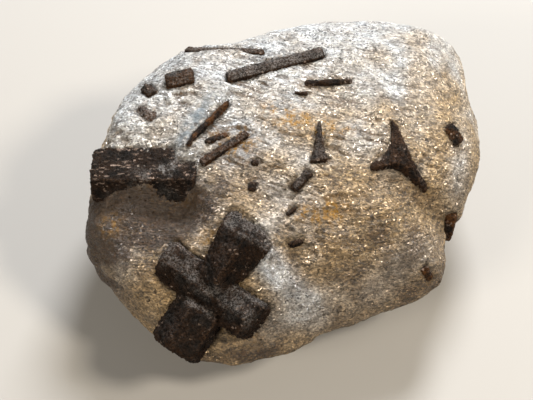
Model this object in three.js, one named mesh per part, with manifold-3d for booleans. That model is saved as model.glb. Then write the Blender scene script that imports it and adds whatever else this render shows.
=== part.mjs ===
// Staurolite crystals in a hand-sized piece of mica schist, in millimetres, +Z up.
// The stone rests on a small flat at z = 0. +X is to the right and +Y away from whoever
// looks at the face with the cross. The origin is under the middle of the whole specimen; the
// stone's own measures start at the middle of its outline.
import * as THREE from "three";
import { ConvexGeometry } from "three/addons/geometries/ConvexGeometry.js";
import { mergeVertices } from "three/addons/utils/BufferGeometryUtils.js";
import Module from "manifold-3d";

const wasm = await Module();
wasm.setup();

const DEGREE = Math.PI / 180;
const FULL_TURN = 2 * Math.PI;
const UP = new THREE.Vector3(0, 0, 1);

// The stone's outline seen from above: one radius every 15 degrees, counterclockwise from +X.
const RIM_RADII = [
  44, 49.5, 53, 59.3, 54, 48, 43.5, 41, 43.5, 45.3, 45, 44.3, 44.5, 47.5, 45.5, 44, 43.5, 41.5,
  37.5, 34, 34, 37, 42, 40.5,
];
// Every 45 degrees from +X: how high the rim is, and how square the shoulder above it and the
// bevel under it are, where 2 is an ellipse and less is a sharper rim.
const RIM_HEIGHTS = [20, 25, 28, 26, 20, 13, 12, 14];
const TOP_SQUARENESS = [2.1, 2.3, 2.4, 2.8, 3.8, 1.9, 1.65, 1.8];
const UNDER_SQUARENESS = [1.6, 1.8, 2, 1.9, 1.6, 1.35, 1.3, 1.4];

const CROWN = 37.5; // height of the broad face over its middle
const FACE_TILT = 0.15; // how much the broad face climbs towards +Y, per mm
const FLAT_DEPTH = 2.2; // how much of the rounded underside the resting flat cuts off
const MATRIX_DETAIL = 16;
const TOP_SHARE = 0.2; // moves the ball's vertices up, so that the broad face gets more of them
const GAP = 0.3; // between a crystal and the wall of its pocket
const TO_ORIGIN = [-0.83, -2.26, 0]; // moves the middle of the whole specimen over the origin

// Swellings and hollows of the broad face: centre x and y, height, half length, half width left
// of the length and right of it, and the heading of the length in degrees.
const SWELLS = [
  [-32, -10, -3.2, 12, 4.5, 5, 0], // hollow in front of the thick prism
  [-34, -17, -3.8, 12, 6, 4.5, 0], // ground that falls from it to the rim
  [-23.5, -9.5, -3.5, 5, 3.5, 4, 0], // its deep inner end
  [-34, 3, -2.3, 13, 6, 6, 0], // lower ground along the thick prism
  [-21, 3, 2.2, 4, 3, 3, 57], // schist over its right upper corner
  [-16.5, 8.5, -2, 13, 2.6, 9, 57], // step down to the right, with the ridge blade at its foot
  [-39, -23, 1.8, 8, 4, 5, -25], // rounded lobe at the left rim
  [-27, -18, -1.4, 5, 3.5, 3.5, -30], // dip along the cross's left arm
  [-3.5, -22, 1.6, 8, 5, 4, -60], // schist heaped against the cross
  [23, 13, 0.8, 6, 2.5, 2.5, 110], // schist draped over the star twin
  [4, 24, -1, 11, 1.5, 4, 18], // lower ground in front of the long prism
];
// Flat breaks that cut the face's shoulder: a point on the break's upper edge, the heading that
// it falls towards and its slope, both in degrees.
const BREAKS = [
  [-37.5, 14, 36, 140, 40], // steep grey band at the left and back
  [-24, 28, 38.2, 112, 38],
  [40, 24, 35.5, 15, 34], // shallow scar by the right rim
  [36, -12, 28.5, -38, 38],
];
// Broad, faint waves of the whole surface: height, wavelength and heading in degrees, phase.
const WAVES = [
  [0.3, 19, 15, 0.4],
  [0.25, 13, 70, 1.9],
  [0.18, 9, 125, 4.1],
  [0.12, 6.5, 40, 2.7],
];
const UNDER_WAVES = 2.2; // the waves are this much higher on the broken underside
const LEDGE_HEIGHT = 5.5; // layers that the broken sides show
const LEDGE_DEPTH = 0.9;
const NOTCH = { angle: -11, width: 5, depth: 1.6 }; // broken nick in the right rim, degrees and mm

// A staurolite prism is six-sided: its two roof faces meet at 129.5 degrees.
const ROOF_RISE = Math.tan(25.25 * DEGREE) / 2; // height of the roof for a prism 1 mm wide
const WORN_EDGE = 0.5; // how far the end faces' edges are worn back
const END_SHRINK = 0.82; // size of the worn end face

// The cross: prisms that grew through each other at right angles. Each has its turn in the
// cross's face, its two ends as distances from the centre, how far it is shifted to its left and
// lifted towards the viewer, its roll about its length, its size, how far its end face leans
// back and how narrow it is at its first end.
const CROSS = {
  centre: [-16.1, -28.2, 22.3],
  facing: [-0.2, -0.45, 0.87], // which way its flat face looks
  prisms: [
    {
      turn: -36, ends: [-14.3, 12.9], shift: 1.1, lift: 0.1, roll: -8,
      width: 9.5, depth: 10.5, lean: 1.2, waist: 1,
    },
    {
      turn: 236.5, ends: [2.8, 15], shift: -0.5, lift: 0.8, roll: -10,
      width: 12, depth: 10.5, lean: 0, waist: 1,
    },
    {
      turn: 55.5, ends: [3, 20.4], shift: 0.9, lift: 1.4, roll: -14,
      width: 12.4, depth: 11, lean: 3.8, waist: 0.7,
    },
  ],
  wornEdge: 1,
};

// Crystals that lie in the broad face: both ends as x and y, how far their top stands above the
// schist there, their width and their depth.
const CRYSTALS = {
  long_prism: [{ from: [-13.2, 22.1], to: [9.8, 29.8], proud: [1.6, 1.7], width: 3.3, depth: 4 }],
  ridge_blade: [
    { from: [-12.7, 15.9], to: [-20.9, 4.9], proud: [0.8, 1.1], width: 1.4, depth: 2 },
    { from: [-20.6, 5.6], to: [-21.9, 2.6], proud: [0.9, 1.4], width: 1.3, depth: 1.2 },
  ],
  slender_prism: [{ from: [-8, 7.2], to: [-18.9, -0.8], proud: [1.2, 1.4], width: 2.1, depth: 2.8 }],
  companion_prism: [{ from: [-13, 7.4], to: [-18, 4.6], proud: [0.7, 0.7], width: 1.6, depth: 3 }],
  back_stub: [{ from: [-27.6, 21.6], to: [-20.8, 22.6], proud: [2, 1.8], width: 4.4, depth: 5.5 }],
  left_stub: [{ from: [-32.8, 22.6], to: [-30.5, 18.6], proud: [1.6, 1.4], width: 2.9, depth: 4 }],
  worn_stub: [{ from: [-33.8, 15.4], to: [-29.6, 11.8], proud: [0.5, 0.5], width: 3.8, depth: 4 }],
  edge_blade: [{ from: [-23.6, 35.6], to: [-4.1, 29.8], proud: [1.4, 1.1], width: 1.7, depth: 4 }],
  sliver_blade: [{ from: [5.1, 20.6], to: [16.5, 20.4], proud: [0.7, 0.6], width: 1.4, depth: 3 }],
  short_prism: [{ from: [6.4, -3.5], to: [2.5, -7.3], proud: [1.1, 1], width: 2.2, depth: 3 }],
  right_stub: [{ from: [38.6, 12.6], to: [41.6, 9.4], proud: [0.9, 0.9], width: 3.4, depth: 4 }],
  notch_crystal: [{ from: [38.4, -8.6], to: [39.8, -4.6], proud: [0.8, 0.9], width: 3.4, depth: 5 }],
};
const THICK_PRISM = {
  from: [-44.4, 0.9, 33.8],
  to: [-19.7, -0.6, 36.1],
  // Its section: one roof face lies level, the next side looks forward and down.
  section: [[-4.6, 0], [4.6, 0], [7.2, -5.4], [3.6, -9.4], [-4.6, -9.4], [-6.4, -5]],
};
// Crystals cut through like a star or a wedge: tapering arms from a hub to their tips.
const STAR_TWIN = {
  hub: [27.2, 1.8],
  tips: [[25.9, 9.8], [20.9, -1.4], [33, -3.6]],
  hubShare: 0.32, // the hub's corners lie this share of the way to the tips
  armWidth: 2.8,
  tipWidth: 1.2,
  proud: 1,
  depth: 4,
};
const SMALL_WEDGE = {
  hub: [8.5, 0.2],
  tips: [[8.5, 8.7], [6.8, -1.2], [10.2, 0]],
  hubShare: 0.3,
  armWidth: 2,
  tipWidth: 0.8,
  proud: 0.8,
  depth: 3,
};
// Small grains: x, y, length, width and heading in degrees.
const GRAINS = [
  [-6.3, -0.9, 1.8, 1.5, 20],
  [-6.9, -6.6, 2.2, 1.9, 70],
  [2, -12.2, 2.9, 1, 37],
  [33.2, -20.7, 2.4, 2, -40],
  [3, -18.3, 3.6, 1.2, 15],
  [4.2, 17.5, 3.4, 0.8, 0],
];
const GRAIN_PROUD = 0.7;
const GRAIN_DEPTH = 2.4;

// Periodic Catmull-Rom curve through evenly spaced values, at a share of the full turn.
function around(values, share) {
  const n = values.length;
  const place = (((share % 1) + 1) % 1) * n;
  const i = Math.floor(place);
  const t = place - i;
  const [a, b, c, d] = [-1, 0, 1, 2].map((k) => values[(i + k + n) % n]);
  return b + 0.5 * t * (c - a + t * (2 * a - 5 * b + 4 * c - d + t * (3 * (b - c) + d - a)));
}

const smooth = (x) => THREE.MathUtils.smoothstep(x, 0, 1);

function swell(x, y, [cx, cy, height, halfLength, leftWidth, rightWidth, heading]) {
  const along = (x - cx) * Math.cos(heading * DEGREE) + (y - cy) * Math.sin(heading * DEGREE);
  const across = (y - cy) * Math.cos(heading * DEGREE) - (x - cx) * Math.sin(heading * DEGREE);
  const width = across > 0 ? leftWidth : rightWidth;
  return height * Math.exp(-((along / halfLength) ** 2) - (across / width) ** 2);
}

function breakHeight(x, y, [px, py, pz, heading, slope]) {
  const run = (x - px) * Math.cos(heading * DEGREE) + (y - py) * Math.sin(heading * DEGREE);
  return pz - run * Math.tan(slope * DEGREE);
}

function waves(x, y, z) {
  return WAVES.reduce((sum, [height, length, heading, phase]) => {
    const run = x * Math.cos(heading * DEGREE) + y * Math.sin(heading * DEGREE) + 0.8 * z;
    return sum + height * Math.sin((FULL_TURN * run) / length + phase);
  }, 0);
}

// The radius of the rim with its nick, at an angle in radians.
function rimRadius(angle) {
  const off = (angle / DEGREE - NOTCH.angle) / NOTCH.width;
  return around(RIM_RADII, angle / FULL_TURN) - NOTCH.depth * Math.exp(-off * off);
}

// Height of the broad face at x and y.
function faceHeight(x, y) {
  const angle = Math.atan2(y, x);
  const share = angle / FULL_TURN;
  const rim = around(RIM_HEIGHTS, share);
  const n = around(TOP_SQUARENESS, share);
  const out = Math.min(1, Math.hypot(x, y) / rimRadius(angle));
  const rise = (1 - out ** n) ** (1 / n);
  const open = CROWN + FACE_TILT * y + SWELLS.reduce((sum, s) => sum + swell(x, y, s), 0);
  const whole = rim + (open - rim) * rise + waves(x, y, 0) * smooth(rise * 2);
  return Math.max(rim, Math.min(whole, ...BREAKS.map((b) => breakHeight(x, y, b))));
}

// The stone's surface in the direction of a unit vector.
function stonePoint(dir) {
  const angle = Math.atan2(dir.y, dir.x);
  const share = angle / FULL_TURN;
  const flat = Math.hypot(dir.x, dir.y);
  const steep = Math.abs(dir.z);
  const above = dir.z > 0;
  const n = around(above ? TOP_SQUARENESS : UNDER_SQUARENESS, share);
  const scale = (flat ** n + steep ** n) ** (-1 / n);
  const rim = around(RIM_HEIGHTS, share);
  const rise = steep * scale;
  let reach = rimRadius(angle) * flat * scale;
  if (!above) {
    const layer = (rim * (1 - rise) + 2 * Math.sin(2 * angle)) / LEDGE_HEIGHT;
    const step = smooth((layer - Math.floor(layer)) * 1.6);
    reach -= LEDGE_DEPTH * step * smooth(rise * 4) * smooth((1 - rise) * 5);
  }
  const x = reach * Math.cos(angle);
  const y = reach * Math.sin(angle);
  if (above) return [x, y, faceHeight(x, y)];
  const lift = waves(x, y, rim * (1 - rise)) * smooth(rise * 2);
  return [x, y, Math.max(0, rim - (rim + FLAT_DEPTH) * rise - UNDER_WAVES * lift)];
}

function stoneGeometry() {
  const ball = new THREE.IcosahedronGeometry(1, MATRIX_DETAIL);
  const spots = ball.getAttribute("position");
  const dir = new THREE.Vector3();
  for (let i = 0; i < spots.count; i++) {
    dir.fromBufferAttribute(spots, i).addScaledVector(UP, TOP_SHARE).normalize();
    spots.setXYZ(i, ...stonePoint(dir));
  }
  return ball;
}

function solidOf(geometry) {
  const bare = geometry.clone();
  for (const name of ["normal", "uv"]) bare.deleteAttribute(name);
  const merged = mergeVertices(bare, 1e-3);
  return new wasm.Manifold(
    new wasm.Mesh({
      numProp: 3,
      vertProperties: new Float32Array(merged.attributes.position.array),
      triVerts: new Uint32Array(merged.index.array),
    }),
  );
}

function geometryOf(solid) {
  const mesh = solid.getMesh();
  return new THREE.BufferGeometry()
    .setAttribute("position", new THREE.BufferAttribute(mesh.vertProperties, 3))
    .setIndex(new THREE.BufferAttribute(mesh.triVerts, 1));
}

function prismSection(width, depth) {
  const eave = depth / 2 - ROOF_RISE * width;
  const half = width / 2;
  return [[0, depth / 2], [half, eave], [half, -eave], [0, -depth / 2], [-half, -eave], [-half, eave]];
}

// A convex bar between two points: a section of across and up values, whose up side looks
// towards the facing vector, with worn end edges, a first end that may be narrower by its waist
// share and a second end that may lean back at the top. Growing it makes the cutter for its pocket.
function bar(from, to, section, facing, grow, wornEdge = WORN_EDGE, lean = 0, waist = 1) {
  const along = to.clone().sub(from).normalize();
  const across = new THREE.Vector3().crossVectors(along, facing).normalize();
  const up = new THREE.Vector3().crossVectors(across, along);
  const worn = Math.min(wornEdge, from.distanceTo(to) / 5);
  const rings = [[from, -grow, END_SHRINK], [from, worn, 1], [to, -worn, 1], [to, grow, END_SHRINK]];
  const points = rings.flatMap(([end, shift, size]) =>
    section.map(([side, u]) => {
      const a = end === from ? side * waist : side;
      const reach = (size * Math.hypot(a, u) + grow * 1.2) / Math.hypot(a, u);
      const back = end === to && u > 0 ? lean : 0;
      const p = end.clone().addScaledVector(along, shift - back);
      return p.addScaledVector(across, a * reach).addScaledVector(up, u * reach);
    }),
  );
  return solidOf(new ConvexGeometry(points));
}

function onFace([x, y], proud) {
  return new THREE.Vector3(x, y, faceHeight(x, y) + proud);
}

// A prism in the broad face, its top at the given height above the schist.
function faceCrystal({ from, to, proud, width, depth }, grow) {
  const sink = depth / 2;
  const [a, b] = [onFace(from, proud[0] - sink), onFace(to, proud[1] - sink)];
  return bar(a, b, prismSection(width, depth), UP, grow);
}

function crossTwin(grow) {
  const facing = new THREE.Vector3(...CROSS.facing).normalize();
  const level = new THREE.Vector3(1, 0, 0).projectOnPlane(facing).normalize();
  const middle = new THREE.Vector3(...CROSS.centre);
  const prisms = CROSS.prisms.map(({ turn, ends, shift, lift, roll, width, depth, lean, waist }) => {
    const axis = level.clone().applyAxisAngle(facing, turn * DEGREE);
    const left = facing.clone().cross(axis);
    const centre = middle.clone().addScaledVector(facing, lift).addScaledVector(left, shift);
    const [from, to] = ends.map((reach) => centre.clone().addScaledVector(axis, reach));
    const ridge = facing.clone().applyAxisAngle(axis, -roll * DEGREE);
    return bar(from, to, prismSection(width, depth), ridge, grow, CROSS.wornEdge, lean, waist);
  });
  return prisms.reduce((sum, prism) => sum.add(prism));
}

function thickPrism(grow) {
  const [from, to] = [THICK_PRISM.from, THICK_PRISM.to].map((p) => new THREE.Vector3(...p));
  return bar(from, to, THICK_PRISM.section, UP, grow);
}

// Arms that taper from a three-cornered hub to their tips.
function taperedTwin({ hub, tips, hubShare, armWidth, tipWidth, proud, depth }, grow) {
  const post = ([x, y], width) => {
    const top = faceHeight(x, y) + proud + grow;
    const half = width / 2 + grow;
    const corners = [[-half, -half], [half, -half], [half, half], [-half, half]];
    return corners.flatMap(([dx, dy]) => [
      new THREE.Vector3(x + dx, y + dy, top),
      new THREE.Vector3(x + dx, y + dy, top - depth - 2 * grow),
    ]);
  };
  const roots = tips.map((tip) => hub.map((h, k) => h + hubShare * (tip[k] - h)));
  const arms = tips.map((tip, i) => [...post(roots[i], armWidth), ...post(tip, tipWidth)]);
  const parts = [roots.flatMap((root) => post(root, armWidth)), ...arms];
  return parts.map((points) => solidOf(new ConvexGeometry(points))).reduce((sum, p) => sum.add(p));
}

function grain([x, y, length, width, heading], grow) {
  const dx = (Math.cos(heading * DEGREE) * length) / 2;
  const dy = (Math.sin(heading * DEGREE) * length) / 2;
  const ends = { from: [x - dx, y - dy], to: [x + dx, y + dy] };
  const proud = [GRAIN_PROUD, GRAIN_PROUD];
  return faceCrystal({ ...ends, proud, width, depth: GRAIN_DEPTH }, grow);
}

const makers = {
  cross_twin: crossTwin,
  thick_prism: thickPrism,
  star_twin: (grow) => taperedTwin(STAR_TWIN, grow),
  small_wedge: (grow) => taperedTwin(SMALL_WEDGE, grow),
};
for (const [name, bars] of Object.entries(CRYSTALS)) {
  makers[name] = (grow) => bars.map((b) => faceCrystal(b, grow)).reduce((sum, b) => sum.add(b));
}
for (const [i, sizes] of GRAINS.entries()) {
  makers[`grain_${i + 1}`] = (grow) => grain(sizes, grow);
}

const specimen = new THREE.Group();

function addPiece(name, solid, color, roughness) {
  const material = new THREE.MeshStandardMaterial({ color, roughness });
  const piece = new THREE.Mesh(geometryOf(solid), material);
  piece.name = name;
  piece.position.set(...TO_ORIGIN);
  specimen.add(piece);
}

let schist = solidOf(stoneGeometry());
for (const [name, make] of Object.entries(makers)) {
  schist = schist.subtract(make(GAP));
  addPiece(name, make(0), 0x2e2522, 0.6);
}
addPiece("schist_matrix", schist, 0x9a8d7d, 0.55);

export default specimen;
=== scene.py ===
"""The looks of a hand-sized piece of mica schist with staurolite crystals in its broad face.

Lengths that shape the stone are in millimetres and are turned to metres once, in to_metres.
"""

import math

import bmesh
import bpy
import numpy as np
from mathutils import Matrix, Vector, noise
from mathutils.bvhtree import BVHTree


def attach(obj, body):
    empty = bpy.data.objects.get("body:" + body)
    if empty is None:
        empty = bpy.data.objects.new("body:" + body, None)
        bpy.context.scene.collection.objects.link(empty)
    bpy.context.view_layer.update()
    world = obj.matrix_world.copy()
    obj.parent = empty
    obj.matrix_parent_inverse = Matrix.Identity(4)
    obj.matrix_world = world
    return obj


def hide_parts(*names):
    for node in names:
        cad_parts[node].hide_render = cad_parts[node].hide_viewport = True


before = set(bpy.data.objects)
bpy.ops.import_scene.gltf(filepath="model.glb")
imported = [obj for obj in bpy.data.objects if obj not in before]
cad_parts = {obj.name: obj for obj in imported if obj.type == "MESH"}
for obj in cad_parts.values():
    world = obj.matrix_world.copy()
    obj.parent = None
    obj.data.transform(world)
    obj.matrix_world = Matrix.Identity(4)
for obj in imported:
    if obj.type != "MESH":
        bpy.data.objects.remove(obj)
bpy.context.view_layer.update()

bl_info = {
    "name": "Staurolite in mica schist",
    "version": (1, 0, 0),
    "blender": (4, 5, 0),
    "location": "View3D > Sidebar > Staurolite",
    "description": "Surfaces a schist hand specimen with staurolite twins and prisms",
    "category": "Object",
}

MM = 0.001

# The photograph's size in points, the point of it that the camera aims at, how many millimetres
# of the stone fall on each point there, and how high over the floor that place lies.
PHOTO_SIZE = (533, 400)
PHOTO_AIM = (282.5, 196)
PHOTO_SCALE = 0.238
AIM_HEIGHT = 22
SENSOR_WIDTH = 36

# Each soft light: name, place, what it aims at, width, power in watts and colour.
LIGHTS = (
    ("window", (0.12, 0.46, 0.44), (0, 0, 0.03), 0.22, 7.9, "fbfcff"),
    ("right fill", (0.45, -0.12, 0.5), (0, 0, 0.02), 0.16, 4.3, "fff3e2"),
    ("left fill", (-0.45, -0.4, 0.35), (0, 0, 0.02), 0.3, 3.4, "fff4e4"),
)
SURROUND_COLOUR = "d5d8dc"
SURROUND_STRENGTH = 0.15
FLOOR_COLOUR = "a3a19d"

# The stone's own measures start at the middle of its outline, which lies here in the frame.
STONE_MIDDLE = (-0.83, -2.26, 0.0)

# The same outline, shoulders and swellings as the solid has. Radii every 15 degrees from +X.
RIM_RADII = (
    44, 49.5, 53, 59.3, 54, 48, 43.5, 41, 43.5, 45.3, 45, 44.3, 44.5, 47.5, 45.5, 44, 43.5, 41.5,
    37.5, 34, 34, 37, 42, 40.5,
)
# Every 45 degrees from +X: the rim's height, and how square the stone is above and below it.
RIM_HEIGHTS = (20, 25, 28, 26, 20, 13, 12, 14)
TOP_SQUARENESS = (2.1, 2.3, 2.4, 2.8, 3.8, 1.9, 1.65, 1.8)
UNDER_SQUARENESS = (1.6, 1.8, 2, 1.9, 1.6, 1.35, 1.3, 1.4)
FLAT_DEPTH = 2.2
TOP_SHARE = 0.2
# Swellings and hollows: centre x and y, height, half length, half width left of the length and
# right of it, and heading in degrees.
SWELLS = (
    (-32, -10, -3.2, 12, 4.5, 5, 0),
    (-34, -17, -3.8, 12, 6, 4.5, 0),
    (-23.5, -9.5, -3.5, 5, 3.5, 4, 0),
    (-34, 3, -2.3, 13, 6, 6, 0),
    (-21, 3, 2.2, 4, 3, 3, 57),
    (-16.5, 8.5, -2, 13, 2.6, 9, 57),
    (-39, -23, 1.8, 8, 4, 5, -25),
    (-27, -18, -1.4, 5, 3.5, 3.5, -30),
    (-3.5, -22, 1.6, 8, 5, 4, -60),
    (23, 13, 0.8, 6, 2.5, 2.5, 110),
    (4, 24, -1, 11, 1.5, 4, 18),
)
# Flat breaks in the shoulder: a point on each, the heading it falls towards and its slope.
BREAKS = (
    (-37.5, 14, 36, 140, 40),
    (-24, 28, 38.2, 112, 38),
    (40, 24, 35.5, 15, 34),
    (36, -12, 28.5, -38, 38),
)
# Height, wavelength, heading in degrees and phase of the broad waves.
WAVES = ((0.3, 19, 15, 0.4), (0.25, 13, 70, 1.9), (0.18, 9, 125, 4.1), (0.12, 6.5, 40, 2.7))
UNDER_WAVES = 2.2
LEDGE_HEIGHT = 5.5
LEDGE_DEPTH = 0.9
NOTCH_ANGLE, NOTCH_WIDTH, NOTCH_DEPTH = -11, 5, 1.6

# Where iron stains the schist: x, y, half length, half width in the stone's own measures.
RUST_SPOTS = (
    (3.5, 9.5, 6, 3),
    (11, 7.5, 5, 2.5),
    (-1, 13, 3, 2),
    (7, -12.5, 5, 2),
    (12, -11, 3.5, 2),
    (-39.5, -12, 2.5, 2),
    (-11, 4, 5, 3.5),
    (-14, -19, 5, 3),
)
# Where earth sits in hollows, with how strong it is; the two strongest, in the hollow in front of the thick
# prism, also stand for painted shade.
EARTH_AND_SHADE_SPOTS = (
    (-38, -10.5, 14, 6.5, 2),
    (-24, -11, 7, 5, 1.3),
    (-34, -20, 10, 8, 0.55),
    (-44, -16, 8, 5, 0.8),
    (-8, -37, 10, 4, 0.8),
    (12, -22, 26, 13, 0.5),
    (32, -12, 18, 14, 0.4),
    (-10, 3, 9, 6, 0.5),
    (-12, -5.5, 9, 4, 0.6),
    (-17, -14, 4, 3, 0.5),
)
# Where mica shows clean and silvery low on the face, partly a painted sheen: as above, with a heading.
SILVER_AND_SHEEN_SPOTS = (
    (-20, 12.5, 12, 3, 1.0, 57),
    (3, -31, 9, 3, 0.8, 25),
    (2, -27, 10, 3.5, 1.0, -35),
    (-4, -22, 6, 3, 0.9, -45),
    (1, -8, 10, 4, 0.7, -20),
    (-3, -15, 7, 3, 0.6, 30),
    (26, -22, 14, 3.5, 0.6, 35),
    (42, 2, 12, 3, 0.8, 85),
)
# Single forms of the face, laid out like the swellings without their height.
FOLDED_PART = (-4, 8, 38, 17, 14, -12)
UNFOLDED_RIDGE = (-20, 12.5, 11, 3, 2.5, 57)
ARM_HEAP = (-4.6, -22.5, 5.5, 3.2, 3, -60)
PRISM_FOOT = (-33, -7, 11, 3, 3, 0)
# Painted shade: a blue-grey band on the slope left of the ridge blade.
SHADED_SLOPE_BAND = (-20.8, 9.5, 9, 2.1, 2.1, 62)
SHADED_HOLLOW = (-34, -8.5, 13, 5, 4, 0)
ARM_FILM = (-7.5, -14.2, 6, 2.6, 2.4, -32)
ARM_HEAP_HEIGHT = 0.7
PRISM_FOOT_DEPTH = 1.0
# The schist's finer relief: heights in millimetres of its lumps, folds and grains, and how much
# of the ledge setting its steps take.
LUMP_HEIGHT = 0.2
FOLD_HEIGHT = 0.65
GRAIN_HEIGHT = 0.09
STEP_SHARE = 0.45
# How far round each crystal the schist's surface answers to it.
CRYSTAL_REACH = 3.5
# The schist's mesh: its rounds of division as a unit ball, and above which height on the ball
# it has one more.
MESH_ROUNDS = 7
FINE_FROM = 0.13
# How often a crystal's remeshed faces are smoothed, which rounds its edges.
SMOOTH_ROUNDS = 2
# Both ends of the crest of the cross's left to right prism, and how wide its film of mica is.
CREST_ENDS = ((-26, -22.5, 28.7), (-7.3, -36.6, 25.7))
CREST_WIDTH = 2.3
# The way the cross's faces look that are painted pale, as lit by the key light.
KEY_LIGHT_SIDE = (0.2, 0.55, 0.81)

# Colours of the schist: its stained ground and its clean one, partly painted sheen, warm patches,
# earth, partly painted shade, painted shade in furrows, also the colour of dark veins, painted
# glints on stained and on clean mica, the blue-grey band of painted shade on a slope, iron stain,
# dark specks, and painted shade where it meets crystals and in a hollow.
SCHIST_COLOURS = {
    "stained": "95805f",
    "clean": "bcc0c2",
    "warm": "957c54",
    "earth_and_shade": "32210f",
    "furrow_shade": "4c3b28",
    "warm glint": "f0d0a4",
    "glint": "e8e6e2",
    "slope_shade": "66727a",
    "rust": "916a1e",
    "speck": "2c241c",
    "contact_and_hollow_shade": "2a1f16",
}
# Colours of the staurolite: dark, middle and brown parts of its body, rust, worn edges, the
# darkest and the palest mica fleck, and the film of mica, also painted on the cross's lit faces.
STAUROLITE_COLOURS = {
    "dark": "0c0a09",
    "body": "16110d",
    "brown": "2a1f17",
    "rust": "6b4420",
    "edge": "5c4533",
    "dull fleck": "67574a",
    "pale fleck": "b39f92",
    "film_and_lit_side": "8f8a86",
}


def around(values, share):
    """Follows a periodic Catmull-Rom curve through evenly spaced values."""
    values = np.asarray(values, float)
    place = np.mod(share, 1) * len(values)
    i = np.floor(place).astype(int)
    t = place - i
    a, b, c, d = (values[(i + k) % len(values)] for k in (-1, 0, 1, 2))
    return b + 0.5 * t * (c - a + t * (2 * a - 5 * b + 4 * c - d + t * (3 * (b - c) + d - a)))


def smooth(x):
    x = np.clip(x, 0, 1)
    return x * x * (3 - 2 * x)


def bell(x, y, cx, cy, half_length, left_width, right_width=None, heading=0):
    """Gives 1 at a spot's centre, falling off along and across its heading."""
    turn = math.radians(heading)
    along = (x - cx) * math.cos(turn) + (y - cy) * math.sin(turn)
    across = (y - cy) * math.cos(turn) - (x - cx) * math.sin(turn)
    width = np.where(across > 0, left_width, right_width or left_width)
    return np.exp(-((along / half_length) ** 2) - (across / width) ** 2)


def break_height(x, y, px, py, pz, heading, slope):
    turn = math.radians(heading)
    run = (x - px) * math.cos(turn) + (y - py) * math.sin(turn)
    return pz - run * math.tan(math.radians(slope))


def waves(x, y, z):
    total = 0
    for height, length, heading, phase in WAVES:
        turn = math.radians(heading)
        run = x * math.cos(turn) + y * math.sin(turn) + 0.8 * z
        total = total + height * np.sin(2 * math.pi * run / length + phase)
    return total


def rim_radius(angle):
    off = (np.degrees(angle) - NOTCH_ANGLE) / NOTCH_WIDTH
    return around(RIM_RADII, angle / (2 * math.pi)) - NOTCH_DEPTH * np.exp(-off * off)


def face_height(x, y):
    """Gives the height of the stone's broad face, in its own millimetres."""
    settings = bpy.context.scene.schist_settings
    angle = np.arctan2(y, x)
    share = angle / (2 * math.pi)
    rim = around(RIM_HEIGHTS, share)
    n = around(TOP_SQUARENESS, share)
    out = np.minimum(1, np.hypot(x, y) / rim_radius(angle))
    rise = (1 - out**n) ** (1 / n)
    swollen = sum(s[2] * bell(x, y, s[0], s[1], *s[3:]) for s in SWELLS)
    level = settings.crown / MM + settings.face_tilt * y + swollen
    height = rim + (level - rim) * rise + waves(x, y, 0) * smooth(rise * 2)
    for broken in BREAKS:
        height = np.minimum(height, break_height(x, y, *broken))
    return np.maximum(rim, height)


def stone_points(dirs):
    """Carries unit directions to the stone's surface, in its own millimetres."""
    angle = np.arctan2(dirs[:, 1], dirs[:, 0])
    share = angle / (2 * math.pi)
    flat = np.hypot(dirs[:, 0], dirs[:, 1])
    steep = np.abs(dirs[:, 2])
    above = dirs[:, 2] > 0
    n = np.where(above, around(TOP_SQUARENESS, share), around(UNDER_SQUARENESS, share))
    scale = (flat**n + steep**n) ** (-1 / n)
    rim = around(RIM_HEIGHTS, share)
    rise = steep * scale
    layer = (rim * (1 - rise) + 2 * np.sin(2 * angle)) / LEDGE_HEIGHT
    ledge = smooth((layer - np.floor(layer)) * 1.6) * smooth(rise * 4) * smooth((1 - rise) * 5)
    reach = rim_radius(angle) * flat * scale - np.where(above, 0, LEDGE_DEPTH * ledge)
    x = reach * np.cos(angle)
    y = reach * np.sin(angle)
    lift = waves(x, y, rim * (1 - rise)) * smooth(rise * 2)
    under = np.maximum(0, rim - (rim + FLAT_DEPTH) * rise - UNDER_WAVES * lift)
    return np.column_stack([x, y, np.where(above, face_height(x, y), under)])


def to_metres(points):
    return (np.asarray(points) + STONE_MIDDLE) * MM


def own_millimetres(points):
    return np.asarray(points) / MM - STONE_MIDDLE


def points_of(mesh):
    points = np.empty(len(mesh.vertices) * 3, np.float32)
    mesh.vertices.foreach_get("co", points)
    return points.reshape(-1, 3).astype(float)


def normals_of(mesh):
    normals = np.empty(len(mesh.vertices) * 3, np.float32)
    mesh.vertex_normals.foreach_get("vector", normals)
    return normals.reshape(-1, 3).astype(float)


def place_points(mesh, points):
    mesh.vertices.foreach_set("co", np.asarray(points, np.float32).ravel())
    mesh.update()


def paint(mesh, name, values):
    """Stores one number per vertex for the materials."""
    layer = mesh.attributes.new(name, "FLOAT", "POINT")
    layer.data.foreach_set("value", np.asarray(values, np.float32).ravel())


def grain_noise(points, size, octaves=1, seed=0):
    """Gives noise of about -1 to 1 at each point, with features of the given size."""
    shift = Vector((17.3 * seed, -9.1 * seed, 5.7 * seed))
    if octaves == 1:
        return np.array([noise.noise(Vector(p) / size + shift) for p in points])
    return np.array([noise.fractal(Vector(p) / size + shift, 1, 2, octaves) for p in points])


def new_piece(name, mesh, material, stands_for):
    """Puts a finished mesh in the scene in place of a CAD node."""
    piece = bpy.data.objects.new(name, mesh)
    bpy.context.scene.collection.objects.link(piece)
    mesh.materials.clear()
    mesh.materials.append(material)
    mesh.polygons.foreach_set("use_smooth", [True] * len(mesh.polygons))
    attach(piece, "root")
    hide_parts(stands_for)


def merged_copy(node_name):
    """Copies a CAD node's mesh and joins its loose triangles."""
    bm = bmesh.new()
    bm.from_mesh(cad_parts[node_name].data)
    bmesh.ops.remove_doubles(bm, verts=bm.verts, dist=1e-6)
    return bm


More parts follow.
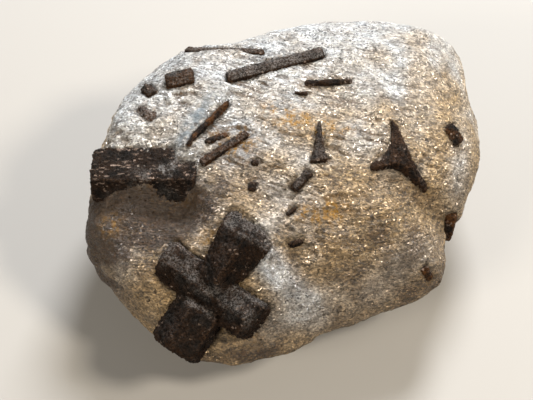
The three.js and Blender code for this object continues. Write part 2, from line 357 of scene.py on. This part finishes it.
def linear(hex_colour):
    """Turns an sRGB hex colour such as 8a7a66 to linear red, green, blue and alpha."""
    channels = [int(hex_colour[i : i + 2], 16) / 255 for i in (0, 2, 4)]
    return [c / 12.92 if c <= 0.04045 else ((c + 0.055) / 1.055) ** 2.4 for c in channels] + [1]


def linear_colours(hex_colours):
    return {key: linear(hex_colour) for key, hex_colour in hex_colours.items()}


def add(tree, kind, inputs=None, stops=None, **settings):
    """Adds one node with its settings, its values or links, and a ramp's stops."""
    made = tree.nodes.new(kind)
    for name, value in settings.items():
        setattr(made, name, value)
    for key, value in (inputs or {}).items():
        if isinstance(value, bpy.types.NodeSocket):
            tree.links.new(value, made.inputs[key])
        else:
            made.inputs[key].default_value = value
    if stops:
        elements = made.color_ramp.elements
        while len(elements) < len(stops):
            elements.new(0.5)
        for element, (position, level) in zip(elements, stops):
            element.position = position
            element.color = level if isinstance(level, list) else (level, level, level, 1)
    return made


def new_material(name):
    material = bpy.data.materials.new(name)
    material.use_nodes = True
    material.node_tree.nodes.clear()
    return material, material.node_tree


def mixed(tree, factor, first, second, blend="MIX"):
    """Blends two colours by a factor."""
    parts = {0: factor, 6: first, 7: second}
    return add(tree, "ShaderNodeMix", parts, data_type="RGBA", blend_type=blend).outputs[2]


def maths(tree, operation, first, second=0.0, clamp=False):
    both = {0: first, 1: second}
    return add(tree, "ShaderNodeMath", both, operation=operation, use_clamp=clamp).outputs[0]


def times(tree, first, second, clamp=False):
    return maths(tree, "MULTIPLY", first, second, clamp)


def tinted(tree, colour, tones):
    """Darkens or lightens a colour by grey tones."""
    return mixed(tree, 1.0, colour, tones, "MULTIPLY")


def millimetre_coordinates(tree):
    coordinates = add(tree, "ShaderNodeTexCoord").outputs["Object"]
    return add(tree, "ShaderNodeMapping", {"Vector": coordinates, "Scale": (1000,) * 3}).outputs[0]


def ramp(tree, value, *stops):
    return add(tree, "ShaderNodeValToRGB", {0: value}, stops=stops).outputs[0]


def cells(tree, vector, scale):
    """Gives three random numbers and a random vector for each cell of a flaky surface."""
    voronoi = add(tree, "ShaderNodeTexVoronoi", {"Vector": vector, "Scale": scale})
    parts = add(tree, "ShaderNodeSeparateColor", {0: voronoi.outputs["Color"]})
    return [parts.outputs[k] for k in range(3)] + [voronoi.outputs["Color"]]


def cloudy(tree, vector, scale, detail=5, roughness=0.62, distortion=0.0):
    values = {"Vector": vector, "Scale": scale, "Detail": detail}
    values |= {"Roughness": roughness, "Distortion": distortion}
    return add(tree, "ShaderNodeTexNoise", values).outputs[0]


def stretched(tree, vector, scale, turn=0.0):
    values = {"Vector": vector, "Scale": scale, "Rotation": (0, 0, turn)}
    return add(tree, "ShaderNodeMapping", values).outputs[0]


def flake_normal(tree, colour, amount, bump):
    """Tilts each cell its own way, by the given amount, on top of the relief: this glitters."""
    tilt = add(tree, "ShaderNodeVectorMath", {0: colour, 1: (0.5,) * 3}, operation="SUBTRACT").outputs[0]
    much = add(tree, "ShaderNodeVectorMath", {0: tilt, "Scale": amount}, operation="SCALE").outputs[0]
    both = add(tree, "ShaderNodeVectorMath", {0: much, 1: bump}, operation="ADD").outputs[0]
    return add(tree, "ShaderNodeVectorMath", {0: both}, operation="NORMALIZE").outputs[0]


def mica_schist():
    """Mica schist, split along its layers: flakes of white mica lie nearly flat in a fine
    quartz ground, so the face is silvery and glitters, and iron has stained it brown. Its colour also
    holds painted sheen, painted glints and painted shade."""
    material, tree = new_material("Mica schist, split along its layers")
    colours = linear_colours(SCHIST_COLOURS)
    mm = millimetre_coordinates(tree)
    silver_and_sheen, rust, earth_and_shade, dark, layer, furrow_shade, slope_shade = (
        add(tree, "ShaderNodeAttribute", attribute_name=attribute).outputs["Fac"]
        for attribute in ("silver_and_sheen", "rust", "earth_and_shade", "dark", "layer", "furrow_shade", "slope_shade")
    )
    # Mica flakes are 0.2 to 1 mm across; these cells are 0.3 by 0.5 mm, one or two of the
    # picture's points, which is coarser than the finest real ones, and the clumps 1.1 mm.
    shade, shine, _, lean = cells(tree, stretched(tree, mm, (0.75, 1.15, 1.15), 0.25), 2.8)
    clump_shade, clump_kind, _, _ = cells(tree, mm, 0.9)
    patch = cloudy(tree, mm, 0.1, roughness=0.6)
    grain = cloudy(tree, mm, 1.1, roughness=0.7)
    mottle = cloudy(tree, mm, 0.32, detail=6, roughness=0.7)
    across = add(tree, "ShaderNodeSeparateXYZ", {0: mm})
    layers = {0: times(tree, across.outputs[0], 0.18), 1: layer, 2: across.outputs[2]}
    streak = cloudy(tree, add(tree, "ShaderNodeCombineXYZ", layers).outputs[0], 0.85, distortion=0.8)

    # The clean silvery colour is clean mica and, towards the back left and on faces that look up, a painted
    # sheen.
    ground = mixed(tree, silver_and_sheen, colours["stained"], colours["clean"])
    warm = times(tree, ramp(tree, patch, (0.4, 0.0), (0.62, 1.0)), 0.4)
    ground = mixed(tree, warm, ground, colours["warm"])
    # Earth in the hollows, and painted shade in the hollow in front of the thick prism.
    earth_and_shade_cover = times(tree, earth_and_shade, ramp(tree, grain, (0.3, 0.8), (0.5, 1.0)), True)
    ground = mixed(tree, earth_and_shade_cover, ground, colours["earth_and_shade"])
    ground = tinted(tree, ground, ramp(tree, mottle, (0.3, 0.62), (0.5, 1.0), (0.68, 1.28)))
    # Dark veins along the layers, and painted shade in the furrows between the wrinkles, take the same
    # brown.
    veins = times(tree, ramp(tree, streak, (0.34, 1.0), (0.47, 0.0)), 0.62)
    furrow_shading = times(tree, furrow_shade, ramp(tree, grain, (0.35, 0.5), (0.6, 1.0)))
    ground = mixed(tree, maths(tree, "MAXIMUM", veins, furrow_shading), ground, colours["furrow_shade"])
    tones = ramp(tree, shade, (0.0, 0.36), (0.5, 0.92), (1.0, 1.7))
    ground = mixed(tree, ramp(tree, silver_and_sheen, (0.2, 1.0), (1.0, 0.6)), ground, tones, "MULTIPLY")
    ground = tinted(tree, ground, ramp(tree, clump_shade, (0.0, 0.82), (1.0, 1.15)))
    ground = tinted(tree, ground, ramp(tree, grain, (0.36, 0.7), (0.5, 1.0), (0.64, 1.25)))
    # Painted glints: the shiniest flakes are coloured pale on top of their metal shine, warm on stained mica
    # and white on clean.
    glint = mixed(tree, silver_and_sheen, colours["warm glint"], colours["glint"])
    glinting = ramp(tree, shine, (0.85, 0.0), (0.9, 0.5))
    glinting = times(tree, glinting, ramp(tree, earth_and_shade_cover, (0.3, 1.0), (1.0, 0.3)))
    glinting = times(tree, glinting, ramp(tree, silver_and_sheen, (0.3, 1.0), (1.0, 0.5)))
    ground = mixed(tree, glinting, ground, glint)
    # Painted shade on the blue-grey slope band, where no flake glints.
    ground = mixed(tree, slope_shade, ground, colours["slope_shade"])
    rusty = times(tree, rust, ramp(tree, grain, (0.42, 0.0), (0.56, 1.0)), True)
    ground = mixed(tree, rusty, ground, colours["rust"])
    specks = times(tree, ramp(tree, clump_kind, (0.955, 0.0), (0.975, 1.0)), 0.8)
    specks = times(tree, specks, ramp(tree, grain, (0.42, 0.0), (0.55, 1.0)))
    ground = mixed(tree, specks, ground, colours["speck"])
    # Painted shade where the schist meets a crystal and in the hollow in front of the thick prism.
    ground = mixed(tree, dark, ground, colours["contact_and_hollow_shade"])

    relief = maths(tree, "ADD", grain, times(tree, streak, 1.3))
    bump = add(tree, "ShaderNodeBump", {"Strength": 1.0, "Distance": 0.0006, "Height": relief}).outputs[0]
    # Most flakes lean by about 15 degrees and the shiniest by about 35.
    normal = flake_normal(tree, lean, ramp(tree, shine, (0.0, 0.45), (0.84, 0.6), (0.9, 1.5)), bump)
    clean = maths(tree, "SUBTRACT", 1.0, maths(tree, "MAXIMUM", times(tree, earth_and_shade_cover, 0.95), slope_shade))
    values = {
        "Base Color": ground,
        "Roughness": ramp(tree, shine, (0.0, 0.62), (0.84, 0.42), (0.9, 0.15)),
        "Metallic": times(tree, ramp(tree, shine, (0.4, 0.0), (0.9, 0.7)), clean),
        "IOR": 1.55,
        "Normal": normal,
    }
    shader = add(tree, "ShaderNodeBsdfPrincipled", values)
    add(tree, "ShaderNodeOutputMaterial", {0: shader.outputs[0]})
    return material


def staurolite(name, fleck_stretch, fleck_share):
    """Staurolite, weathered out of schist: nearly black brown and dull, with pits, flecks of mica
    grown into it, rusty worn edges and a pale film of mica dust on its upper faces. The film is also
    painted light on the cross's faces turned to the key light, and painted shade darkens the thick
    prism's faces that don't look up."""
    material, tree = new_material(name)
    colours = linear_colours(STAUROLITE_COLOURS)
    mm = millimetre_coordinates(tree)
    # The flecks attribute also carries painted shade on the thick prism's faces that don't look up.
    film_and_lit_side, wear, rust, lit_share = (
        add(tree, "ShaderNodeAttribute", attribute_name=attribute).outputs["Fac"]
        for attribute in ("film_and_lit_side", "wear", "rust", "flecks")
    )
    patch = cloudy(tree, mm, 0.3, roughness=0.65)
    grain = cloudy(tree, mm, 1.9, detail=4, roughness=0.7)
    crumbs = cloudy(tree, mm, 2.3, detail=4, roughness=0.75)
    # The mica flecks are cells of 0.5 mm, on the thick prism drawn out to rows of 1.2 by 0.4 mm.
    fleck, fleck_tone, _, _ = cells(tree, stretched(tree, mm, fleck_stretch), 2.0)
    shade, polish, _, lean = cells(tree, mm, 2.8)

    body = ramp(tree, patch, (0.3, colours["dark"]), (0.5, colours["body"]), (0.72, colours["brown"]))
    body = tinted(tree, body, ramp(tree, grain, (0.35, 0.3), (0.7, 2.0)))
    body = tinted(tree, body, ramp(tree, shade, (0.0, 0.6), (1.0, 1.5)))
    # Painted shade: the thick prism's faces that don't look up are darkened to about a third and hold no
    # flecks.
    body = tinted(tree, body, ramp(tree, lit_share, (0.0, 0.3), (1.0, 1.0)))
    rusty = times(tree, rust, ramp(tree, grain, (0.38, 0.15), (0.6, 1.0)), True)
    body = mixed(tree, rusty, body, colours["rust"])
    edge = times(tree, wear, ramp(tree, grain, (0.42, 0.0), (0.6, 0.5)), True)
    body = mixed(tree, edge, body, colours["edge"])
    held = times(tree, lit_share, ramp(tree, patch, (0.42, 0.0), (0.6, 1.0)))
    rare = 1 - fleck_share
    flecks = times(tree, ramp(tree, fleck, (rare, 0.0), (rare + 0.04, 1.0)), held)
    fleck_colour = ramp(tree, fleck_tone, (0.0, colours["dull fleck"]), (1.0, colours["pale fleck"]))
    body = mixed(tree, flecks, body, fleck_colour)
    # The pale film: mica dust, and on the cross painted light on the faces turned to the key light.
    coat = times(tree, film_and_lit_side, ramp(tree, crumbs, (0.46, 0.06), (0.56, 1.0)), True)
    body = mixed(tree, coat, body, colours["film_and_lit_side"])

    relief = maths(tree, "ADD", grain, times(tree, patch, 0.8))
    relief = maths(tree, "ADD", relief, times(tree, crumbs, 0.5))
    bump = add(tree, "ShaderNodeBump", {"Strength": 1.0, "Distance": 0.001, "Height": relief}).outputs[0]
    # The low specular level is the weathered skin: only a faint shine is left on the faces.
    values = {
        "Base Color": body,
        "Roughness": ramp(tree, polish, (0.0, 0.3), (0.12, 0.55), (1.0, 0.8)),
        "IOR": 1.74,
        "Specular IOR Level": 0.06,
        "Normal": flake_normal(tree, lean, 0.7, bump),
    }
    shader = add(tree, "ShaderNodeBsdfPrincipled", values)
    add(tree, "ShaderNodeOutputMaterial", {0: shader.outputs[0]})
    return material


def plain_board(name, hex_colour):
    """Painted board: matt and even, so only the specimen has detail."""
    material, tree = new_material(name)
    shader = add(tree, "ShaderNodeBsdfPrincipled", {"Base Color": linear(hex_colour), "Roughness": 0.9})
    add(tree, "ShaderNodeOutputMaterial", {0: shader.outputs[0]})
    return material


class SchistSettings(bpy.types.PropertyGroup):
    crown: bpy.props.FloatProperty(
        name="Crown", description="Height of the broad face over its middle", default=0.0375, unit="LENGTH"
    )
    face_tilt: bpy.props.FloatProperty(
        name="Face tilt",
        description="Climb of the broad face towards the back, per unit",
        default=0.15,
        unit="NONE",
    )
    foliation: bpy.props.FloatProperty(
        name="Foliation", description="Height of the wrinkled layers", default=0.00038, unit="LENGTH"
    )
    ledges: bpy.props.FloatProperty(
        name="Ledges", description="Height of the small broken steps", default=0.0005, unit="LENGTH"
    )


class CrystalSettings(bpy.types.PropertyGroup):
    voxel: bpy.props.FloatProperty(
        name="Detail",
        description="Size of the smallest detail of a crystal's faces",
        default=0.0003,
        unit="LENGTH",
    )
    roughness: bpy.props.FloatProperty(
        name="Roughness",
        description="Height of the pits and bumps of a crystal's faces",
        default=0.00012,
        unit="LENGTH",
    )


class StageSettings(bpy.types.PropertyGroup):
    floor: bpy.props.FloatProperty(name="Floor", description="Side of the floor", default=4.0, unit="LENGTH")
    elevation: bpy.props.FloatProperty(
        name="Elevation",
        description="How far the camera looks down",
        default=math.radians(55),
        subtype="ANGLE",
        unit="ROTATION",
    )
    distance: bpy.props.FloatProperty(
        name="Distance", description="From the camera to the stone", default=0.38, unit="LENGTH"
    )


class STAUROLITE_OT_schist(bpy.types.Operator):
    """Surface the schist with layers, small broken steps, grains and stains"""

    bl_idname = "staurolite.schist"
    bl_label = "Mica schist"

    def execute(self, context):
        settings = context.scene.schist_settings
        bm = bmesh.new()
        bmesh.ops.create_icosphere(bm, subdivisions=MESH_ROUNDS, radius=1)
        fine = [e for e in bm.edges if all(v.co.z > FINE_FROM for v in e.verts)]
        bmesh.ops.subdivide_edges(bm, edges=fine, cuts=1, use_grid_fill=True)
        mesh = bpy.data.meshes.new("schist_surface")
        bm.to_mesh(mesh)
        bm.free()
        dirs = points_of(mesh) + (0, 0, TOP_SHARE)
        dirs /= np.linalg.norm(dirs, axis=1)[:, None]
        own = stone_points(dirs)
        place_points(mesh, to_metres(own))
        out = normals_of(mesh)

        x, y, z = own.T
        top = smooth((out[:, 2] - 0.25) / 0.5)
        # Foliation: long sharp-crested wrinkles that fall to the right and turn up at the lower rim.
        turning = 0.4 * np.maximum(0, x - 8) ** 2 / 30 * smooth((8 - y) / 20)
        layer = y + 0.27 * x - turning + 1.2 * np.sin(x / 9)
        bent = np.column_stack([0.22 * x, layer, z])
        wrinkle = 0.6 - 2 * np.abs(grain_noise(bent, 1.5, 3, 1))
        lump = grain_noise(own, 5.5, 3, 2)
        fine_grain = grain_noise(own, 0.9, 2, 3)
        # Broken steps: a slow noise cut into levels leaves small flat-topped flakes.
        slow = grain_noise(own * (0.6, 1, 1.8), 4.5, 4, 4) * 3.2
        stepped = np.floor(slow) + smooth((slow - np.floor(slow)) * 3)
        folded = bell(x, y, *FOLDED_PART) * (1 - bell(x, y, *UNFOLDED_RIDGE))
        calm = 0.3 + 1.1 * folded * smooth(grain_noise(own, 14, 2, 5) * 1.5 + 0.7)
        fold = grain_noise(own * (0.45, 1, 1), 5, 2, 10)
        lift = (settings.foliation / MM) * wrinkle * calm * (0.5 + 0.5 * top)
        lift += LUMP_HEIGHT * lump + FOLD_HEIGHT * fold * folded
        lift += GRAIN_HEIGHT * fine_grain
        lift += (settings.ledges / MM) * (STEP_SHARE * stepped * (1.6 - 1.1 * top)) / 2

        # The schist dips a little where it meets a crystal and swells around it.
        near, gap = self.nearest_crystal(own, CRYSTAL_REACH)
        uneven = 0.5 + grain_noise(own, 2.4, 2, 9)
        lift *= np.where(near, 0.3 + 0.7 * smooth(gap / 1.6), 1)
        lift += np.where(near, 0.4 * uneven * np.exp(-(((gap - 1.2) / 1.1) ** 2)), 0)
        lift -= np.where(near, 0.25 * np.exp(-((gap / 0.4) ** 2)), 0)
        # Schist heaped against the cross's back arm, and broken away along the thick prism's foot.
        lift += ARM_HEAP_HEIGHT * bell(x, y, *ARM_HEAP)
        lift -= PRISM_FOOT_DEPTH * bell(x, y, *PRISM_FOOT)
        resting = smooth(z / 2.5)
        own = own + out * (lift * resting)[:, None]
        own[:, 2] = np.maximum(own[:, 2], 0)
        place_points(mesh, to_metres(own))

        rust = sum(bell(x, y, *spot) for spot in RUST_SPOTS) * top
        rust = rust * smooth(grain_noise(own, 2.2, 3, 6) * 1.6 + 0.65)
        around_crystals = np.where(near, np.exp(-(gap / 0.8)), 0)
        earth_and_shade = sum(spot[4] * bell(x, y, *spot[:4]) for spot in EARTH_AND_SHADE_SPOTS)
        # Painted sheen: the clean silvery colour grows towards the back left, on faces that look up and on
        # the silver spots, partly as clean mica.
        clean_mica_and_painted_sheen = smooth(0.42 - (0.4 * x - 0.9 * y) / 50 + 0.5 * grain_noise(own, 11, 3, 7))
        silver_spots_and_sheen = sum(spot[4] * bell(x, y, *spot[:4], None, spot[5]) for spot in SILVER_AND_SHEEN_SPOTS)
        clean_mica_and_painted_sheen = np.maximum(clean_mica_and_painted_sheen, silver_spots_and_sheen)
        paint(mesh, "silver_and_sheen", clean_mica_and_painted_sheen * (0.35 + 0.65 * top))
        paint(mesh, "layer", layer)
        # Painted shade: the blue-grey band on the slope left of the ridge blade.
        slope_shade = bell(x, y, *SHADED_SLOPE_BAND)
        paint(mesh, "slope_shade", slope_shade * smooth(grain_noise(own, 2, 3, 21) + 0.75))
        # Painted shade in the furrows between the wrinkles, stronger on faces that look up.
        paint(mesh, "furrow_shade", smooth((0.12 - wrinkle) / 0.35) * np.clip(calm, 0, 1) * (0.4 + 0.6 * top))
        around_crystals *= grain_noise(own, 3, 2, 8) > 0.1
        paint(mesh, "rust", np.clip(rust * 1.15 + 0.35 * around_crystals, 0, 1))
        # Earth, painted shade in the hollow in front of the thick prism, and a browner colour on low faces
        # that don't look up.
        earth_and_shade *= 0.6 + 0.8 * smooth(grain_noise(own, 6, 3, 19) + 0.5)
        paint(mesh, "earth_and_shade", np.clip(earth_and_shade * 0.9 + 0.3 * (1 - top) * (z < 20), 0, 1))
        # Painted shade where the schist meets a crystal and in the hollow in front of the thick prism.
        contact_shade = np.exp(-((gap / 0.38) ** 2)) * smooth(uneven * 1.2)
        hollow_shade = 0.7 * bell(x, y, *SHADED_HOLLOW) * smooth(0.8 + grain_noise(own, 5, 3, 22))
        paint(mesh, "dark", np.maximum(np.where(near, 0.75 * contact_shade, 0), hollow_shade))
        new_piece("schist_surface", mesh, mica_schist(), "schist_matrix")
        return {"FINISHED"}

    def nearest_crystal(self, own, reach):
        """Says which points lie within reach of a crystal, and how far from it, in millimetres."""
        corners, faces = [], []
        for name in CRYSTAL_NODES:
            bm = merged_copy(name)
            bm.verts.index_update()
            start = len(corners)
            corners += [own_millimetres(v.co) for v in bm.verts]
            faces += [[start + v.index for v in f.verts] for f in bm.faces]
            bm.free()
        tree = BVHTree.FromPolygons([tuple(c) for c in corners], faces)
        gaps = np.array([tree.find_nearest(Vector(p), reach)[3] or -1 for p in own])
        return gaps >= 0, np.where(gaps >= 0, gaps, reach)


CRYSTAL_NODES = [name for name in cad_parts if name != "schist_matrix"]
MAIN_CRYSTALS = ("cross_twin", "thick_prism", "star_twin")
# How much mica dust lies on a crystal's upper face and how rusty it is.
DUST = {
    "edge_blade": 0.6,
    "long_prism": 0.7,
    "short_prism": 0.5,
    "worn_stub": 0.95,
    "slender_prism": 0.3,
    "small_wedge": 0.3,
    "back_stub": 0.35,
    "left_stub": 0.4,
}
RUST = {
    "ridge_blade": 0.9,
    "edge_blade": 0.3,
    "back_stub": 0.4,
    "right_stub": 0.5,
    "slender_prism": 0.4,
    "notch_crystal": 0.8,
    "grain_4": 0.9,
    "worn_stub": 0.5,
    "companion_prism": 0.8,
    "star_twin": 0.25,
    "cross_twin": 0.12,
    "thick_prism": 0.1,
}
USUAL_DUST = 0.05
USUAL_RUST = 0.15


def rough_crystal(node_name, voxel, roughness, material):
    """Rebuilds a crystal's flat faces with worn edges, pits and small bumps."""
    bm = merged_copy(node_name)
    mesh = bpy.data.meshes.new(f"{node_name}_faces")
    bm.to_mesh(mesh)
    bm.free()
    helper = bpy.data.objects.new("remesh", mesh)
    bpy.context.scene.collection.objects.link(helper)
    helper.modifiers.new("even faces", "REMESH").voxel_size = voxel
    helper.modifiers["even faces"].mode = "VOXEL"
    made = bpy.data.meshes.new_from_object(helper.evaluated_get(bpy.context.evaluated_depsgraph_get()))
    bpy.data.objects.remove(helper)
    made.name = f"{node_name}_faces"

    bm = bmesh.new()
    bm.from_mesh(made)
    axes = {"use_axis_x": True, "use_axis_y": True, "use_axis_z": True}
    for _ in range(SMOOTH_ROUNDS):
        bmesh.ops.smooth_vert(bm, verts=bm.verts, factor=0.5, **axes)
    bm.to_mesh(made)
    bm.free()

    own = own_millimetres(points_of(made))
    out = normals_of(made)
    broad = grain_noise(own, 3.2, 3, 11)
    pits = np.maximum(0, grain_noise(own, 1.1, 2, 12) - 0.12)
    fine = grain_noise(own, 0.55, 2, 13)
    lift = (roughness / MM) * (1.3 * broad - 5 * pits + 3 * fine)
    wear = convexity(made, own, out)
    lift -= 0.17 * np.maximum(0, wear) * (0.6 + grain_noise(own, 1.8, 2, 14))
    own = own + out * lift[:, None]
    place_points(made, to_metres(own))
    proud = own[:, 2] - face_height(own[:, 0], own[:, 1])
    film_and_lit_side = 0.6 * np.exp(-np.maximum(0, proud) / 0.25) * smooth(grain_noise(own, 3, 2, 18) + 0.6)
    film_and_lit_side *= smooth((out[:, 2] - 0.3) / 0.4)
    dusted = smooth((out[:, 2] - 0.6) / 0.3) * (0.75 + 0.5 * grain_noise(own, 2.5, 2, 16))
    film_and_lit_side = np.maximum(film_and_lit_side, DUST.get(node_name, USUAL_DUST) * dusted)
    if node_name == "cross_twin":
        # Painted light: the cross's faces turned to the key light get the pale film.
        lit_side = smooth((out @ np.array(KEY_LIGHT_SIDE) - 0.35) / 0.5)
        film_and_lit_side = np.maximum(film_and_lit_side, 0.6 * lit_side * smooth(grain_noise(own, 2.2, 3, 20) * 1.5 + 0.8))
        film_and_lit_side = np.maximum(film_and_lit_side, crest_film(own))
        film_and_lit_side = np.maximum(film_and_lit_side, 0.85 * bell(own[:, 0], own[:, 1], *ARM_FILM))
    paint(made, "film_and_lit_side", np.clip(film_and_lit_side, 0, 1))
    paint(made, "wear", np.clip(wear, 0, 1))
    # Painted shade: on the thick prism the flecks attribute is low on faces that don't look up, which
    # darkens them and keeps flecks off.
    facing_up = smooth((out[:, 2] - 0.1) / 0.5)
    paint(made, "flecks", facing_up if node_name == "thick_prism" else np.ones(len(own)))
    stain = smooth(grain_noise(own, 3, 3, 17) * 1.5 + 0.6)
    paint(made, "rust", RUST.get(node_name, USUAL_RUST) * stain)
    new_piece(f"{node_name}_faces", made, material, node_name)


def convexity(mesh, own, out):
    """Gives about 1 on a sharp edge that stands out and less on a flat face, per vertex."""
    ends = np.empty(len(mesh.edges) * 2, np.int32)
    mesh.edges.foreach_get("vertices", ends)
    a, b = ends.reshape(-1, 2).T
    run = own[b] - own[a]
    length = np.linalg.norm(run, axis=1) + 1e-9
    bend = ((out[b] - out[a]) * run).sum(axis=1) / length
    total = np.bincount(a, bend, len(own)) + np.bincount(b, bend, len(own))
    count = np.bincount(a, minlength=len(own)) + np.bincount(b, minlength=len(own))
    return smooth(total / np.maximum(count, 1) * 4)


def crest_film(own):
    """The pale film of mica along the crest of the cross's left to right prism."""
    start, end = np.array(CREST_ENDS)
    along = end - start
    share = np.clip(((own - start) @ along) / (along @ along), 0, 1)
    away = np.linalg.norm(own - start - share[:, None] * along, axis=1)
    return 0.5 * np.exp(-((away / CREST_WIDTH) ** 2)) * smooth(grain_noise(own, 2.5, 3, 15) + 0.6)


class STAUROLITE_OT_large_crystals(bpy.types.Operator):
    """Surface the cross, the thick prism and the star-shaped twin"""

    bl_idname = "staurolite.large_crystals"
    bl_label = "Large crystals"

    def execute(self, context):
        settings = context.scene.crystal_settings
        weathered = staurolite("Staurolite, weathered out of schist", (1, 1, 1), 0.045)
        streaked = staurolite("Staurolite, mica flecks in rows", (0.4, 1.2, 1.2), 0.15)
        for name in MAIN_CRYSTALS:
            material = streaked if name == "thick_prism" else weathered
            rough_crystal(name, settings.voxel, settings.roughness, material)
        return {"FINISHED"}


class STAUROLITE_OT_small_crystals(bpy.types.Operator):
    """Surface the thin prisms, blades, stubs and grains"""

    bl_idname = "staurolite.small_crystals"
    bl_label = "Small crystals"

    def execute(self, context):
        settings = context.scene.crystal_settings
        material = staurolite("Staurolite, small prisms", (1, 1, 1), 0.08)
        for name in CRYSTAL_NODES:
            if name not in MAIN_CRYSTALS:
                rough_crystal(name, settings.voxel * 0.7, settings.roughness * 0.6, material)
        return {"FINISHED"}


def soft_light(name, place, aim, size, power, hex_colour):
    light = bpy.data.lights.new(name, "AREA")
    light.shape = "DISK"
    light.size = size
    light.energy = power
    light.color = linear(hex_colour)[:3]
    lamp = bpy.data.objects.new(name, light)
    lamp.location = place
    lamp.rotation_euler = (Vector(aim) - Vector(place)).to_track_quat("-Z", "Y").to_euler()
    bpy.context.scene.collection.objects.link(lamp)


class STAUROLITE_OT_stage(bpy.types.Operator):
    """Lay the floor and set up the camera and the soft lights"""

    bl_idname = "staurolite.stage"
    bl_label = "Stage"

    def execute(self, context):
        settings = context.scene.stage_settings
        bm = bmesh.new()
        bmesh.ops.create_grid(bm, x_segments=1, y_segments=1, size=settings.floor / 2)
        mesh = bpy.data.meshes.new("floor")
        bm.to_mesh(mesh)
        bm.free()
        mesh.materials.append(plain_board("Painted board, pale and matt", FLOOR_COLOUR))
        floor = bpy.data.objects.new("floor", mesh)
        context.scene.collection.objects.link(floor)

        camera = bpy.data.objects.new("camera", bpy.data.cameras.new("camera"))
        context.scene.collection.objects.link(camera)
        points_per_distance = settings.distance / (PHOTO_SCALE * MM)
        camera.data.sensor_width = SENSOR_WIDTH
        camera.data.lens = SENSOR_WIDTH * points_per_distance / PHOTO_SIZE[0]
        camera.data.shift_x = (PHOTO_SIZE[0] / 2 - PHOTO_AIM[0]) / PHOTO_SIZE[0]
        camera.data.shift_y = (PHOTO_AIM[1] - PHOTO_SIZE[1] / 2) / PHOTO_SIZE[0]
        camera.data.clip_start = 0.01
        target = Vector((*STONE_MIDDLE[:2], AIM_HEIGHT)) * MM
        look = Vector((0, math.cos(settings.elevation), -math.sin(settings.elevation)))
        camera.location = target - look * settings.distance
        camera.rotation_euler = look.to_track_quat("-Z", "Y").to_euler()
        context.scene.camera = camera

        for light in LIGHTS:
            soft_light(*light)
        world = bpy.data.worlds.new("soft surround")
        world.use_nodes = True
        background = world.node_tree.nodes["Background"]
        background.inputs["Color"].default_value = linear(SURROUND_COLOUR)
        background.inputs["Strength"].default_value = SURROUND_STRENGTH
        context.scene.world = world
        # The plain transform keeps the specimen's dark crystals and bright mica apart.
        context.scene.view_settings.view_transform = "Standard"
        return {"FINISHED"}


class STAUROLITE_PT_panel(bpy.types.Panel):
    """Shows the settings and buttons that surface the schist and crystals and set up the stage"""

    bl_label = "Staurolite in schist"
    bl_idname = "STAUROLITE_PT_panel"
    bl_space_type = "VIEW_3D"
    bl_region_type = "UI"
    bl_category = "Staurolite"

    def draw(self, context):
        scene = context.scene
        rows = (
            ("staurolite.schist", scene.schist_settings, ("crown", "face_tilt", "foliation", "ledges")),
            ("staurolite.large_crystals", scene.crystal_settings, ("voxel", "roughness")),
            ("staurolite.small_crystals", scene.crystal_settings, ()),
            ("staurolite.stage", scene.stage_settings, ("floor", "elevation", "distance")),
        )
        for operator, settings, names in rows:
            box = self.layout.box()
            for name in names:
                box.prop(settings, name)
            box.operator(operator)


CLASSES = (
    SchistSettings,
    CrystalSettings,
    StageSettings,
    STAUROLITE_OT_schist,
    STAUROLITE_OT_large_crystals,
    STAUROLITE_OT_small_crystals,
    STAUROLITE_OT_stage,
    STAUROLITE_PT_panel,
)


def register():
    for cls in CLASSES:
        bpy.utils.register_class(cls)
    bpy.types.Scene.schist_settings = bpy.props.PointerProperty(type=SchistSettings)
    bpy.types.Scene.crystal_settings = bpy.props.PointerProperty(type=CrystalSettings)
    bpy.types.Scene.stage_settings = bpy.props.PointerProperty(type=StageSettings)


def unregister():
    del bpy.types.Scene.stage_settings
    del bpy.types.Scene.crystal_settings
    del bpy.types.Scene.schist_settings
    for cls in reversed(CLASSES):
        bpy.utils.unregister_class(cls)


def main():
    register()
    bpy.ops.staurolite.schist()
    bpy.ops.staurolite.large_crystals()
    bpy.ops.staurolite.small_crystals()
    bpy.ops.staurolite.stage()


if __name__ == "__main__":
    main()
